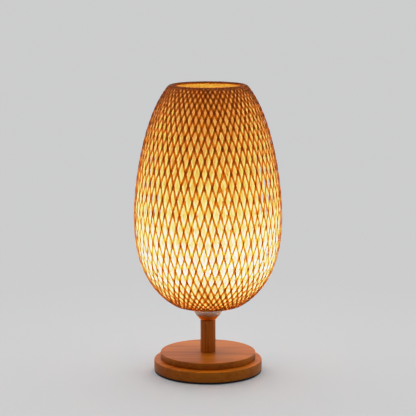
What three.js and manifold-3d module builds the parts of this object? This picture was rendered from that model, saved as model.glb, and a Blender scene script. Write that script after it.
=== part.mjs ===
// Table lamp with a woven bamboo shade.
// Millimetres, +Z up. The origin is the middle of the underside of the base pad.
// Every piece is turned about the lamp's own axis, Z, unless its section says otherwise.

import * as THREE from "three";
import { mergeVertices } from "three/addons/utils/BufferGeometryUtils.js";
import Module from "manifold-3d";

const wasm = await Module();
wasm.setup();

// ---- Driving dimensions ----

const GAP = 0.3; // between pieces that touch on the real lamp

// Base: a pad, two stacked wooden discs and the screws between them
const PAD_RADIUS = 74.6;
const PAD_TOP = 2.4;
const LOWER_DISC = { radius: 75, bottom: 2.7, top: 17.6, edge: 2, foot: 0.5 };
const UPPER_DISC = { radius: 66, bottom: 17.9, top: 27.2, edge: 0.6 };
const TUBE_HOLE = 5.3; // radius of the bore for the threaded tube in wood and metal
const RECESS = { radius: 22, top: 10.7 }; // nut recess under the lower disc
const SCREW_CIRCLE = 48;
const SCREW_ANGLES = [30, 150, 270];
const SCREW = { head: 3.3, shank: 1.6, bottom: 3.2, neck: 5.2, taper: 20.5, point: 23.5 };

// Cord inlet: a level channel from the back of the lower disc into the recess
const CORD = { height: 8.2, channel: 4.7, bushOuter: 4.3, bushBore: 3.5, flange: 5.3, lip: 1.5 };
const CORD_START = 16; // the channel opens into the recess here
const BUSH_START = 58;
const BUSH_FLANGE = {
  from: LOWER_DISC.radius + GAP,
  to: LOWER_DISC.radius + GAP + CORD.lip,
};
const CLEAR = 5; // how far a cutting tool reaches past the piece that it cuts

// Stem: a hollow threaded tube through a wooden post
const TUBE = { outer: 5, bore: 3.6, bottom: 4, top: 79 };
const NUT = { across: 16, height: 3.6 };
const WASHER = { radius: 13, thickness: 1.2 };
const POST = { radius: 10.5, top: 72.3, edge: 0.4 };

// Lamp holder: a bowl and a collar that continue one another on the same arc
const BOWL_ARC = { centreRadius: -6.95, centreHeight: 95.03, radius: 28.47 };
const BOWL_WALL = 0.9;
const BOWL = { bottom: 72.6, floor: 73.8, innerTop: 78.6, top: 80.1, spigot: 86 };
const SPIGOT = { outer: 15.9, inner: 15 };
const COLLAR = { bottom: 80.5, top: 89.6 };
const FLANGE = { radius: 24, bottom: 90.3, top: 92 };
const SKIRT = { outer: 19.6, lowerBore: 16.3, bore: 17.3, step: 87.9, top: 121, lip: 0.8 };
const CORE = { radius: 16.9, cavity: 14.8, bottom: 88.2, floor: 92.4, top: 114 };
const SLEEVE = { outer: 14.45, inner: 13.75, bottom: 92.8, top: 111.5 };
const CONTACT = { length: 9, width: 3.4, thickness: 0.45, bottom: 92.7 };
const TERMINAL = { offset: 9, head: 3, shank: 1.5, hole: 1.9, bottom: 84.8, neck: 87, tip: 91 };

// Shade: a superellipse-like egg, the outer face of its outer layer of strips
const SHADE = {
  radius: 102.05,
  widest: 221.2,
  upperReach: 199.27,
  upperPower: 1.612,
  upperRoot: 2.759,
  lowerReach: 138.6,
  lowerPower: 2.444,
  lowerRoot: 2.097,
};
const SHADE_BOTTOM = 93.4; // the flat underside
const BOTTOM_TURN = { flatRadius: 41.4, cornerRadius: 45.2, endHeight: 95.6 };
const RIM = { crestHeight: 399.7, crestRadius: 48.5, cornerRadius: 52.9, startHeight: 396 };
const SHADE_WALL = 4; // both layers and the space between them
const LAYER = 1; // two crossing strips
const BOTTOM_LIP = 30.5; // where the underside folds over into the inner layer
const LIP_TAIL = 4; // how far the folded underside runs back
const HOOP = 0.65;
const WALL_STEPS = 12;
const TURN_STEPS = 3;
const FOLD_STEPS = 4;
const GLOBE_STEPS = 8;

// Shade fitting: the woven underside is clamped between two plates
const PLATE = { bore: 20, supportRadius: 37, clampRadius: 36, thickness: 1.1 };
const RING_NUT = { bore: 20.1, radius: 27, flange: 2, top: 106, grip: 24.5 };

// Bulb: a globe of 45 mm on an Edison screw cap of 27 mm
const GLOBE = { radius: 22.5, centre: 149, wall: 0.9, joinAngle: -48 };
const NECK = { radius: 12, bottom: 101.6, flare: 119, throat: 126, throatRadius: 12.6 };
const CAP = {
  radius: 13.25,
  inner: 12.35,
  nose: 11.95,
  noseOuter: 12.65,
  bottom: 98.8,
  shoulder: 99.8,
  lip: 100.8,
  top: 113,
};
const CAP_INSULATOR = { tip: 5.6, radius: 11.6, bottom: 95.8, shoulder: 99, top: 100.4 };
const TIP = { radius: 4.8, face: 3, bottom: 93.5, shoulder: 94.3, top: 95.5 };
const STEM = {
  foot: 8,
  waist: 3,
  head: 3.6,
  bottom: 102,
  footTop: 108,
  waistBottom: 116,
  waistTop: 134,
  top: 137,
};
const FILAMENT = { count: 4, radius: 0.9, circle: 5.5, bottom: 138, top: 160 };

const FINE = 40; // facets round the large turned pieces
const MEDIUM = 24;
const SMALL = 12;
const TINY = 8;

// ---- Geometry helpers ----

// An outline of [radius, height] pairs turned about Z. It closes on itself or ends on the axis.
function turned(outline, facets) {
  const points = outline.map(([radius, height]) => new THREE.Vector2(radius, height));
  const onAxis = outline[0][0] === 0 && outline[outline.length - 1][0] === 0;
  if (!onAxis) points.push(points[0].clone());
  return new THREE.LatheGeometry(points, facets).rotateX(Math.PI / 2);
}

function ring(inner, outer, bottom, top, facets) {
  const outline = [
    [inner, bottom],
    [outer, bottom],
    [outer, top],
    [inner, top],
  ];
  return turned(outline, facets);
}

function solidFrom(geometry) {
  const bare = geometry.clone();
  bare.deleteAttribute("normal");
  bare.deleteAttribute("uv");
  const merged = mergeVertices(bare, 1e-4);
  return new wasm.Manifold(
    new wasm.Mesh({
      numProp: 3,
      vertProperties: new Float32Array(merged.attributes.position.array),
      triVerts: new Uint32Array(merged.index.array),
    }),
  );
}

function geometryFrom(solid) {
  const mesh = solid.getMesh();
  const geometry = new THREE.BufferGeometry();
  geometry.setAttribute("position", new THREE.BufferAttribute(mesh.vertProperties, 3));
  geometry.setIndex(new THREE.BufferAttribute(mesh.triVerts, 1));
  return geometry;
}

function cut(geometry, tools) {
  const carved = tools.reduce((solid, tool) => solid.subtract(solidFrom(tool)), solidFrom(geometry));
  return geometryFrom(carved);
}

// Points on an arc, from one angle to another in degrees, both ends included.
function arc(centreRadius, centreHeight, radius, from, to, steps) {
  return Array.from({ length: steps + 1 }, (_, i) => {
    const angle = THREE.MathUtils.degToRad(from + ((to - from) * i) / steps);
    return [centreRadius + radius * Math.cos(angle), centreHeight + radius * Math.sin(angle)];
  });
}

// A point and its unit normal at every vertex of an open path, the normal to the path's left.
function withNormals(path) {
  return path.map((point, i) => {
    const before = path[Math.max(i - 1, 0)];
    const after = path[Math.min(i + 1, path.length - 1)];
    const along = new THREE.Vector2(after[0] - before[0], after[1] - before[1]).normalize();
    return { point, normal: [-along.y, along.x] };
  });
}

function offset(path, distance) {
  return withNormals(path).map(({ point, normal }) => [
    point[0] + distance * normal[0],
    point[1] + distance * normal[1],
  ]);
}

// The closed outline of a sheet of even thickness that follows an open centre line.
function sheetOutline(centreLine, thickness) {
  return [...offset(centreLine, -thickness / 2), ...offset(centreLine, thickness / 2).reverse()];
}

function hexagonNut(across, bore, bottom, top) {
  const shape = new THREE.Shape();
  const corner = across / Math.sqrt(3);
  for (let i = 0; i < 6; i += 1) {
    const angle = (i * Math.PI) / 3;
    const place = [corner * Math.cos(angle), corner * Math.sin(angle)];
    if (i === 0) shape.moveTo(...place);
    else shape.lineTo(...place);
  }
  shape.closePath();
  shape.holes.push(new THREE.Path().absarc(0, 0, bore, 0, 2 * Math.PI, true));
  const nut = new THREE.ExtrudeGeometry(shape, {
    depth: top - bottom,
    bevelEnabled: false,
    curveSegments: SMALL / 2,
  });
  return nut.translate(0, 0, bottom);
}

// ---- Base ----

function basePad() {
  return turned(
    [
      [0, 0],
      [PAD_RADIUS, 0],
      [PAD_RADIUS, PAD_TOP],
      [0, PAD_TOP],
    ],
    FINE,
  );
}

// Cuts for one screw through both discs: a countersink and a clear hole.
function screwHole([x, y]) {
  const outline = [
    [0, LOWER_DISC.bottom - CLEAR],
    [SCREW.head + 2 * GAP, LOWER_DISC.bottom - CLEAR],
    [SCREW.head + 2 * GAP, SCREW.bottom],
    [SCREW.shank + GAP, SCREW.neck + GAP],
    [SCREW.shank + GAP, SCREW.point + GAP],
    [0, SCREW.point + 2 * GAP],
  ];
  return turned(outline, SMALL).translate(x, y, 0);
}

function baseScrew([x, y]) {
  const outline = [
    [0, SCREW.bottom],
    [SCREW.head, SCREW.bottom],
    [SCREW.shank, SCREW.neck],
    [SCREW.shank, SCREW.taper],
    [0, SCREW.point],
  ];
  return turned(outline, SMALL).translate(x, y, 0);
}

function screwPlaces() {
  return SCREW_ANGLES.map((degrees) => {
    const angle = THREE.MathUtils.degToRad(degrees);
    return [SCREW_CIRCLE * Math.cos(angle), SCREW_CIRCLE * Math.sin(angle)];
  });
}

function lowerDisc() {
  const { radius, bottom, top, edge, foot } = LOWER_DISC;
  const outline = [
    [RECESS.radius, bottom],
    [radius - foot, bottom],
    [radius, bottom + foot],
    ...arc(radius - edge, top - edge, edge, 0, 90, TURN_STEPS),
    [TUBE_HOLE, top],
    [TUBE_HOLE, RECESS.top],
    [RECESS.radius, RECESS.top],
  ];
  const channelLength = radius + CLEAR - CORD_START;
  const channel = new THREE.CylinderGeometry(CORD.channel, CORD.channel, channelLength, MEDIUM);
  channel.translate(0, CORD_START + channelLength / 2, CORD.height);
  return cut(turned(outline, FINE), [...screwPlaces().map(screwHole), channel]);
}

function upperDisc() {
  const { radius, bottom, top, edge } = UPPER_DISC;
  const outline = [
    [TUBE_HOLE, bottom],
    [radius - edge, bottom],
    [radius, bottom + edge],
    [radius, top - edge],
    [radius - edge, top],
    [TUBE_HOLE, top],
  ];
  return cut(turned(outline, FINE), screwPlaces().map(screwHole));
}

// The bush lies along +Y, its flange outside the disc.
function cordInletBush() {
  const outline = [
    [CORD.bushBore, BUSH_START],
    [CORD.bushOuter, BUSH_START],
    [CORD.bushOuter, BUSH_FLANGE.from],
    [CORD.flange, BUSH_FLANGE.from],
    [CORD.flange, BUSH_FLANGE.to],
    [CORD.bushBore, BUSH_FLANGE.to],
  ];
  return turned(outline, MEDIUM)
    .rotateX(-Math.PI / 2)
    .translate(0, 0, CORD.height);
}

// ---- Stem ----

function tubeWasher() {
  const top = RECESS.top - GAP;
  return ring(TUBE_HOLE, WASHER.radius, top - WASHER.thickness, top, MEDIUM);
}

function tubeNut() {
  const top = RECESS.top - WASHER.thickness - 2 * GAP;
  return hexagonNut(NUT.across, TUBE_HOLE, top - NUT.height, top);
}

function post() {
  const bottom = UPPER_DISC.top + GAP;
  const { radius, top, edge } = POST;
  const outline = [
    [TUBE_HOLE, bottom],
    [radius, bottom],
    [radius, top - edge],
    [radius - edge, top],
    [TUBE_HOLE, top],
  ];
  return turned(outline, MEDIUM);
}

// ---- Lamp holder ----

// Points on the arc that the bowl and the collar share, pulled in by a wall thickness.
function bowlPoints(from, to, inset, steps) {
  const radius = BOWL_ARC.radius - inset;
  return Array.from({ length: steps + 1 }, (_, i) => {
    const height = from + ((to - from) * i) / steps;
    const fall = BOWL_ARC.centreHeight - height;
    return [BOWL_ARC.centreRadius + Math.sqrt(radius ** 2 - fall ** 2), height];
  });
}

function holderDome() {
  const outline = [
    [TUBE_HOLE, BOWL.bottom],
    ...bowlPoints(BOWL.bottom, BOWL.top, 0, 5),
    [SPIGOT.outer, BOWL.top],
    [SPIGOT.outer, BOWL.spigot],
    [SPIGOT.inner, BOWL.spigot],
    [SPIGOT.inner, BOWL.innerTop],
    ...bowlPoints(BOWL.innerTop - GAP, BOWL.floor, BOWL_WALL, 3),
    [TUBE_HOLE, BOWL.floor],
  ];
  return turned(outline, MEDIUM + SMALL);
}

function domeLockNut() {
  const bottom = BOWL.floor + GAP;
  return hexagonNut(NUT.across, TUBE_HOLE, bottom, bottom + NUT.height);
}

function holderSkirt() {
  const { outer, lowerBore, bore, step, top, lip } = SKIRT;
  const outline = [
    [lowerBore, COLLAR.bottom],
    ...bowlPoints(COLLAR.bottom, COLLAR.top, 0, 5),
    [FLANGE.radius, FLANGE.bottom],
    [FLANGE.radius, FLANGE.top],
    [outer, FLANGE.top],
    [outer, top - lip],
    [outer - lip, top],
    [bore, top],
    [bore, step],
    [lowerBore, step],
  ];
  return turned(outline, MEDIUM + SMALL);
}

function terminalHole(side) {
  const start = CORE.bottom - CLEAR;
  const depth = TERMINAL.tip + GAP - start;
  const hole = new THREE.CylinderGeometry(TERMINAL.hole, TERMINAL.hole, depth, SMALL);
  hole.rotateX(Math.PI / 2);
  return hole.translate(side * TERMINAL.offset, 0, start + depth / 2);
}

function holderCore() {
  const { radius, cavity, bottom, floor, top } = CORE;
  const outline = [
    [0, bottom],
    [radius, bottom],
    [radius, top],
    [cavity, top],
    [cavity, floor],
    [0, floor],
  ];
  return cut(turned(outline, MEDIUM), [terminalHole(-1), terminalHole(1)]);
}

function centreContact() {
  const { length, width, thickness, bottom } = CONTACT;
  const strip = new THREE.BoxGeometry(length, width, thickness);
  return strip.translate(0, 0, bottom + thickness / 2);
}

function terminalScrew(side) {
  const { offset: across, head, shank, bottom, neck, tip } = TERMINAL;
  const outline = [
    [0, bottom],
    [head, bottom],
    [head, neck],
    [shank, neck],
    [shank, tip],
    [0, tip],
  ];
  return turned(outline, SMALL).translate(side * across, 0, 0);
}

// ---- Shade ----

function shadeRadius(height) {
  const above = height > SHADE.widest;
  const reach = above ? SHADE.upperReach : SHADE.lowerReach;
  const power = above ? SHADE.upperPower : SHADE.lowerPower;
  const root = above ? SHADE.upperRoot : SHADE.lowerRoot;
  const fraction = Math.abs(height - SHADE.widest) / reach;
  return SHADE.radius * (1 - fraction ** power) ** (1 / root);
}

function turnBetween(start, corner, end) {
  const points = [start, corner, end].map(([radius, height]) => new THREE.Vector2(radius, height));
  return new THREE.QuadraticBezierCurve(...points).getPoints(TURN_STEPS).map(({ x, y }) => [x, y]);
}

// The outer face from the lip of the underside, up the wall, to the crest of the rim.
function shadeFace() {
  const low = BOTTOM_TURN.endHeight;
  const high = RIM.startHeight;
  const middle = (low + high) / 2;
  const wall = Array.from({ length: WALL_STEPS + 1 }, (_, i) => {
    const height = middle - ((high - low) / 2) * Math.cos((Math.PI * i) / WALL_STEPS);
    return [shadeRadius(height), height];
  });
  const bottomTurn = turnBetween(
    [BOTTOM_TURN.flatRadius, SHADE_BOTTOM],
    [BOTTOM_TURN.cornerRadius, SHADE_BOTTOM],
    wall[0],
  );
  const rimTurn = turnBetween(
    wall[WALL_STEPS],
    [RIM.cornerRadius, RIM.crestHeight],
    [RIM.crestRadius, RIM.crestHeight],
  );
  return [[BOTTOM_LIP, SHADE_BOTTOM], ...bottomTurn, ...wall.slice(1, -1), ...rimTurn];
}

// The outer layer's centre line: up to the foot of the rim, and on over the rim to the inner layer.
function outerLines() {
  const face = shadeFace();
  const middle = SHADE_WALL / 2;
  const foldRadius = middle - LAYER / 2;
  const wall = offset(face, LAYER / 2);
  const returned = offset(face, SHADE_WALL - LAYER / 2);
  const bottomFold = arc(BOTTOM_LIP, SHADE_BOTTOM + middle, foldRadius, 90, 270, FOLD_STEPS);
  const crestFold = arc(RIM.crestRadius, RIM.crestHeight - middle, foldRadius, 90, 270, FOLD_STEPS);
  const bottomTail = [BOTTOM_LIP + LIP_TAIL, returned[0][1]];
  const foot = wall.length - 1 - TURN_STEPS;
  const [footRadius, footHeight] = wall[foot];
  const rimStart = [footRadius - GAP, footHeight + GAP];
  return {
    upright: [bottomTail, ...bottomFold, ...wall.slice(1, foot + 1)],
    rim: [rimStart, ...wall.slice(foot + 1, -1), ...crestFold, returned[returned.length - 2]],
  };
}

function outerWeave() {
  return turned(sheetOutline(outerLines().upright, LAYER), FINE - 4);
}

// The same strips where they bend in, fold over the rim and start down the inner layer.
function rimFold() {
  return turned(sheetOutline(outerLines().rim, LAYER), FINE - 4);
}

function innerWeave() {
  const returned = offset(shadeFace(), SHADE_WALL - LAYER / 2);
  const start = [BOTTOM_LIP + LIP_TAIL + GAP, returned[0][1]];
  return turned(sheetOutline([start, ...returned.slice(1, -2)], LAYER), FINE - 4);
}

function hoop(radius, height) {
  const wire = new THREE.TorusGeometry(radius, HOOP, 6, FINE - 4);
  return wire.translate(0, 0, height);
}

function supportPlate() {
  const bottom = FLANGE.top + GAP;
  const top = SHADE_BOTTOM - GAP;
  return ring(PLATE.bore, PLATE.supportRadius, bottom, top, MEDIUM + SMALL);
}

const CLAMP_BOTTOM = SHADE_BOTTOM + SHADE_WALL + GAP;
const CLAMP_TOP = CLAMP_BOTTOM + PLATE.thickness;

function clampPlate() {
  return ring(PLATE.bore, PLATE.clampRadius, CLAMP_BOTTOM, CLAMP_TOP, MEDIUM + SMALL);
}

function ringNut() {
  const bottom = CLAMP_TOP + GAP;
  const outline = [
    [RING_NUT.bore, bottom],
    [RING_NUT.radius, bottom],
    [RING_NUT.radius, bottom + RING_NUT.flange],
    [RING_NUT.grip, bottom + RING_NUT.flange],
    [RING_NUT.grip, RING_NUT.top],
    [RING_NUT.bore, RING_NUT.top],
  ];
  return turned(outline, MEDIUM + SMALL);
}

// ---- Bulb ----

// The glass from the neck's foot, up through the throat, to a pole of the globe.
function glassPath(inset) {
  const globe = arc(0, GLOBE.centre, GLOBE.radius - inset, GLOBE.joinAngle, 90, GLOBE_STEPS);
  globe[globe.length - 1][0] = 0;
  return [
    [NECK.radius - inset, NECK.bottom],
    [NECK.radius - inset, NECK.flare],
    [NECK.throatRadius - inset, NECK.throat],
    ...globe,
  ];
}

function bulbGlobe() {
  const outside = glassPath(0);
  const inside = glassPath(GLOBE.wall).reverse();
  return turned([...outside, ...inside], MEDIUM);
}

function bulbCap() {
  const { radius, inner, nose, noseOuter, bottom, shoulder, lip, top } = CAP;
  const outline = [
    [nose, bottom],
    [noseOuter, bottom],
    [radius, shoulder],
    [radius, top],
    [inner, top],
    [inner, lip],
    [nose, lip],
  ];
  return turned(outline, MEDIUM);
}

function bulbCapInsulator() {
  const { tip, radius, bottom, shoulder, top } = CAP_INSULATOR;
  const outline = [
    [0, bottom],
    [tip, bottom],
    [radius, shoulder],
    [radius, top],
    [0, top],
  ];
  return turned(outline, MEDIUM);
}

function bulbTipContact() {
  const { radius, face, bottom, shoulder, top } = TIP;
  const outline = [
    [0, bottom],
    [face, bottom],
    [radius, shoulder],
    [radius, top],
    [0, top],
  ];
  return turned(outline, SMALL);
}

function bulbStem() {
  const { foot, waist, head, bottom, footTop, waistBottom, waistTop, top } = STEM;
  const outline = [
    [0, bottom],
    [foot, bottom],
    [foot, footTop],
    [waist, waistBottom],
    [waist, waistTop],
    [head, top],
    [0, top],
  ];
  return turned(outline, SMALL);
}

function filament(index) {
  const angle = ((index + 0.5) * 2 * Math.PI) / FILAMENT.count;
  const height = FILAMENT.top - FILAMENT.bottom;
  const rod = new THREE.CylinderGeometry(FILAMENT.radius, FILAMENT.radius, height, TINY);
  rod.rotateX(Math.PI / 2);
  return rod.translate(
    FILAMENT.circle * Math.cos(angle),
    FILAMENT.circle * Math.sin(angle),
    FILAMENT.bottom + height / 2,
  );
}

// ---- Materials ----

function finish(color, roughness, metalness = 0) {
  return new THREE.MeshStandardMaterial({ color, roughness, metalness });
}

const BLACK_PAD = () => finish("#0d0d0d", 0.8);
const BASE_WOOD = () => finish("#b5652f", 0.4);
const POST_WOOD = () => finish("#8a4d22", 0.45);
const POLISHED_BOWL = () => finish("#c98a4e", 0.15, 1);
const GREY_COLLAR = () => finish("#8f8a84", 0.4, 0.9);
const ZINC = () => finish("#b9bcc0", 0.35, 1);
const BRASS = () => finish("#c9a24b", 0.3, 1);
const CERAMIC = () => finish("#efece3", 0.35);
const BLACK_PLASTIC = () => finish("#161616", 0.5);
const BAMBOO = () => finish("#d79a4a", 0.55);
const STEEL_WIRE = () => finish("#6f6a62", 0.5, 0.9);
const FROSTED_GLASS = () => finish("#fff1d6", 0.6);
const FILAMENT_COAT = () => finish("#ffd98a", 0.6);

// ---- Assembly ----

const lamp = new THREE.Group();

function add(name, geometry, material) {
  const mesh = new THREE.Mesh(geometry, material);
  mesh.name = name;
  lamp.add(mesh);
}

add("base_pad", basePad(), BLACK_PAD());
add("lower_base_disc", lowerDisc(), BASE_WOOD());
add("upper_base_disc", upperDisc(), BASE_WOOD());
screwPlaces().forEach((place, i) => add(`base_screw_${i + 1}`, baseScrew(place), ZINC()));
add("cord_inlet_bush", cordInletBush(), BLACK_PLASTIC());

add("threaded_tube", ring(TUBE.bore, TUBE.outer, TUBE.bottom, TUBE.top, MEDIUM - 4), ZINC());
add("tube_washer", tubeWasher(), ZINC());
add("tube_nut", tubeNut(), ZINC());
add("post", post(), POST_WOOD());

add("holder_dome", holderDome(), POLISHED_BOWL());
add("dome_lock_nut", domeLockNut(), ZINC());
add("holder_skirt", holderSkirt(), GREY_COLLAR());
add("holder_core", holderCore(), CERAMIC());
add("screw_sleeve", ring(SLEEVE.inner, SLEEVE.outer, SLEEVE.bottom, SLEEVE.top, MEDIUM), BRASS());
add("centre_contact", centreContact(), BRASS());
add("terminal_screw_live", terminalScrew(-1), BRASS());
add("terminal_screw_neutral", terminalScrew(1), BRASS());

const FOLD_MIDDLE = SHADE_WALL / 2;
add("shade_outer_weave", outerWeave(), BAMBOO());
add("shade_rim_fold", rimFold(), BAMBOO());
add("shade_inner_weave", innerWeave(), BAMBOO());
add("shade_top_hoop", hoop(RIM.crestRadius, RIM.crestHeight - FOLD_MIDDLE), STEEL_WIRE());
add("shade_bottom_hoop", hoop(BOTTOM_LIP, SHADE_BOTTOM + FOLD_MIDDLE), STEEL_WIRE());
add("shade_support_plate", supportPlate(), ZINC());
add("shade_clamp_plate", clampPlate(), ZINC());
add("shade_ring_nut", ringNut(), BLACK_PLASTIC());

add("bulb_globe", bulbGlobe(), FROSTED_GLASS());
add("bulb_cap", bulbCap(), ZINC());
add("bulb_cap_insulator", bulbCapInsulator(), BLACK_PLASTIC());
add("bulb_tip_contact", bulbTipContact(), BRASS());
add("bulb_stem", bulbStem(), FROSTED_GLASS());
for (let i = 0; i < FILAMENT.count; i += 1) {
  add(`led_filament_${i + 1}`, filament(i), FILAMENT_COAT());
}

export default lamp;
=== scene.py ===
"""Table lamp with a woven bamboo shade: the looks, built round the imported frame.

Metres, +Z up, the origin in the middle of the underside of the base pad, the front towards -Y.
"""
import math

import bmesh
import bpy
import numpy as np
from mathutils import Matrix


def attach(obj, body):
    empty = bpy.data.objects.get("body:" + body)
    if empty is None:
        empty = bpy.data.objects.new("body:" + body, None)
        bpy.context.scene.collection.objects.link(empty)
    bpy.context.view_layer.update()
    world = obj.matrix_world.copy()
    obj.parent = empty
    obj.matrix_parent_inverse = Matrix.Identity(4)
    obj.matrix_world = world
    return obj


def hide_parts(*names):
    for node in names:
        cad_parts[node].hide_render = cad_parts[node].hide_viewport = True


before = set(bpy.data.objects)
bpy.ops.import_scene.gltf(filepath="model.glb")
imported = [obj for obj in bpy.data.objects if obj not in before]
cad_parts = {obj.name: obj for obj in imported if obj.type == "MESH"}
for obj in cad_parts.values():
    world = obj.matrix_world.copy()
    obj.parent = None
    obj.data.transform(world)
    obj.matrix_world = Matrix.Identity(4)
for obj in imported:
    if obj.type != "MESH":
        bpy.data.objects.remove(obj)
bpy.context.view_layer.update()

MM = 0.001
STAND = "lamp_stand"
BULB = "bulb"

# ---- The shade's shape, as the CAD model has it (millimetres) ----

SHADE_RADIUS = 102.05
WIDEST = 221.2  # height of the widest ring
UPPER = (199.27, 1.612, 2.759)  # reach, power, root above the widest ring
LOWER = (138.6, 2.444, 2.097)  # and below it
SHADE_BOTTOM = 93.4
BOTTOM_LIP = 30.5
BOTTOM_FLAT = 41.4
BOTTOM_CORNER = 45.2
WALL_START = 95.6
WALL_END = 396.0
RIM_CORNER = 52.9
RIM_RADIUS = 48.5
RIM_TOP = 399.7
SHADE_WALL = 4.0  # both layers of strips and the space between them
LAYER = 1.0  # thickness of one layer, where its strips cross

# ---- The weave ----

STRIPS = 58  # in each direction
PITCH = 2 * math.pi / STRIPS
STRIP_WIDTH = 3.25
INNER_WIDTH = 5.0  # wider, to fill the openings between the outer strips
STRIP_THICKNESS = 0.42
CLAIRAUT = 27.1  # radius times the sine of a strip's slant is the same all along it
STEEPEST_SINE = 0.93
FOLD_TWIST = 1.0  # how far a strip goes round as it folds over the rim, in half pitches
FOLD_SAMPLES = 24
WEAVE_LIFT = 0.27  # how far a strip rises and dips where it passes over and under
FULL_LIFT_SPACING = 5  # where crossings are closer together than this, the strips rise less
MOST_OF_ROOM = 0.93  # the most of the room between neighbours that a strip fills
UNEVEN_PLACE = 0.045  # how unevenly the strips are spaced, in pitches
UNEVEN_WIDTH = 0.06  # and how uneven their widths are, as a share
DRIFT = 0.03  # how far a strip wanders from its line, in pitches
DRIFT_WAVES = (90, 190)  # the shortest and the longest wave of that
FIBRE_OFFSET = 37  # so that no two strips show the same fibres
FACE_STEP = 0.2  # between points of the shade's outer face
SAMPLES_PER_CROSSING = 5
LONGEST_STEP = 5.0  # between samples of a strip
SHORTEST_STEP = 0.7
SAME = 1e-6  # two lengths that differ by less than this are the same


# ---- Mesh helpers ----

def new_object(name, mesh):
    obj = bpy.data.objects.new(name, mesh)
    bpy.context.scene.collection.objects.link(obj)
    return obj


def smooth(mesh, angle=35):
    """Smooth shading, with edges sharper than angle kept sharp."""
    mesh.shade_smooth()
    mesh.set_sharp_from_angle(angle=math.radians(angle))


def arc(centre_r, centre_z, radius, start, end, steps=6):
    """Points on an arc of the outline plane, from one angle to another in degrees."""
    angles = np.radians(np.linspace(start, end, steps + 1))
    return [(centre_r + radius * math.cos(a), centre_z + radius * math.sin(a)) for a in angles]


def bend(start, corner, end, steps=12):
    """A curve from start to end that sets off and arrives along the lines to the corner."""
    t = np.linspace(0, 1, steps + 1)[:, None]
    start, corner, end = (np.array(p, float) for p in (start, corner, end))
    return (1 - t) ** 2 * start + 2 * t * (1 - t) * corner + t**2 * end


def filleted(outline, radius=0.3, steps=3):
    """The outline with its corners rounded, except where it ends on the axis."""
    most = 0.45  # of a side that a corner may take
    points = [np.array(p, float) for p in outline]
    open_ends = outline[0][0] == 0 and outline[-1][0] == 0
    made = []
    for i, corner in enumerate(points):
        if open_ends and i in (0, len(points) - 1):
            made.append(tuple(corner))
            continue
        sides = [points[i - 1] - corner, points[(i + 1) % len(points)] - corner]
        start, end = (corner + s * min(radius / np.linalg.norm(s), most) for s in sides)
        made += [tuple(p) for p in bend(start, corner, end, steps)]
    return made


def turned(name, outline, facets=128, wobble=None, place=(0, 0), along_y=None):
    """A piece turned about an upright axis from (radius, height) points in millimetres.

    An outline that doesn't start and end on the axis is joined up into a loop.
    wobble(radius, height, angle) gives millimetres to add to the radius, as for a screw thread.
    along_y gives the height of a level axis instead, along +Y.
    """
    on_axis = outline[0][0] == 0 and outline[-1][0] == 0
    bm = bmesh.new()
    rings = []
    for r, z in outline:
        if r == 0:
            rings.append([bm.verts.new((0, 0, z))] * facets)
            continue
        ring = []
        for i in range(facets):
            a = 2 * math.pi * i / facets
            at = r + (wobble(r, z, a) if wobble else 0)
            ring.append(bm.verts.new((at * math.cos(a), at * math.sin(a), z)))
        rings.append(ring)
    if not on_axis:
        rings.append(rings[0])
    for low, high in zip(rings, rings[1:]):
        for i in range(facets):
            j = (i + 1) % facets
            corners = [low[i], low[j], high[j], high[i]]
            distinct = list(dict.fromkeys(corners))
            if len(distinct) > 2:
                bm.faces.new(distinct)
    if along_y is not None:
        bmesh.ops.rotate(bm, verts=bm.verts, matrix=Matrix.Rotation(-math.pi / 2, 3, "X"))
        bmesh.ops.translate(bm, verts=bm.verts, vec=(0, 0, along_y))
    bmesh.ops.translate(bm, verts=bm.verts, vec=(*place, 0))
    bmesh.ops.scale(bm, verts=bm.verts, vec=(MM, MM, MM))
    bmesh.ops.recalc_face_normals(bm, faces=bm.faces)
    mesh = bpy.data.meshes.new(name)
    bm.to_mesh(mesh)
    bm.free()
    smooth(mesh)
    return new_object(name, mesh)


def screw_thread(radius, bottom, top, pitch, depth, samples=8):
    """A right-hand thread cut into one radius: its outline points, upwards, and its wobble.

    A negative depth cuts outwards, into the wall of a bore.
    """
    heights = np.linspace(bottom, top, int(samples * (top - bottom) / pitch) + 1)

    def wobble(r, z, angle):
        if abs(r - radius) > SAME or not bottom <= z <= top:
            return 0
        fade = min(1, (z - bottom) / pitch, (top - z) / pitch)
        return -depth / 2 * fade * (1 - math.cos(2 * math.pi * z / pitch - angle))

    return [(radius, z) for z in heights], wobble


def hexagon_nut(name, bore, across, bottom, top):
    """A nut with its six corners turned down to a cone on both faces."""
    chamfer = 0.9
    bore_edge = 0.3
    corner = across / math.sqrt(3)
    flat = across / 2
    land = flat - 0.2  # radius of the level ring round the bore
    outline = [
        (bore, bottom + bore_edge), (bore + bore_edge, bottom), (land, bottom),
        (corner, bottom + chamfer), (corner, top - chamfer),
        (land, top), (bore + bore_edge, top), (bore, top - bore_edge),
    ]

    def six_sides(r, z, angle):
        turn = angle % (math.pi / 3) - math.pi / 6
        return min(0, flat / math.cos(turn) - r) if r > bore + bore_edge + SAME else 0

    return turned(name, outline, 96, six_sides)


def box_cutter(size, centre):
    """A block to cut with, its size and centre in millimetres."""
    bm = bmesh.new()
    bmesh.ops.create_cube(bm, size=1)
    bmesh.ops.scale(bm, verts=bm.verts, vec=[s * MM for s in size])
    bmesh.ops.translate(bm, verts=bm.verts, vec=[c * MM for c in centre])
    mesh = bpy.data.meshes.new("cutter")
    bm.to_mesh(mesh)
    bm.free()
    return new_object("cutter", mesh)


SLIVER = 5e-6  # metres; edges shorter than this are closed up after a cut


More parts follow.
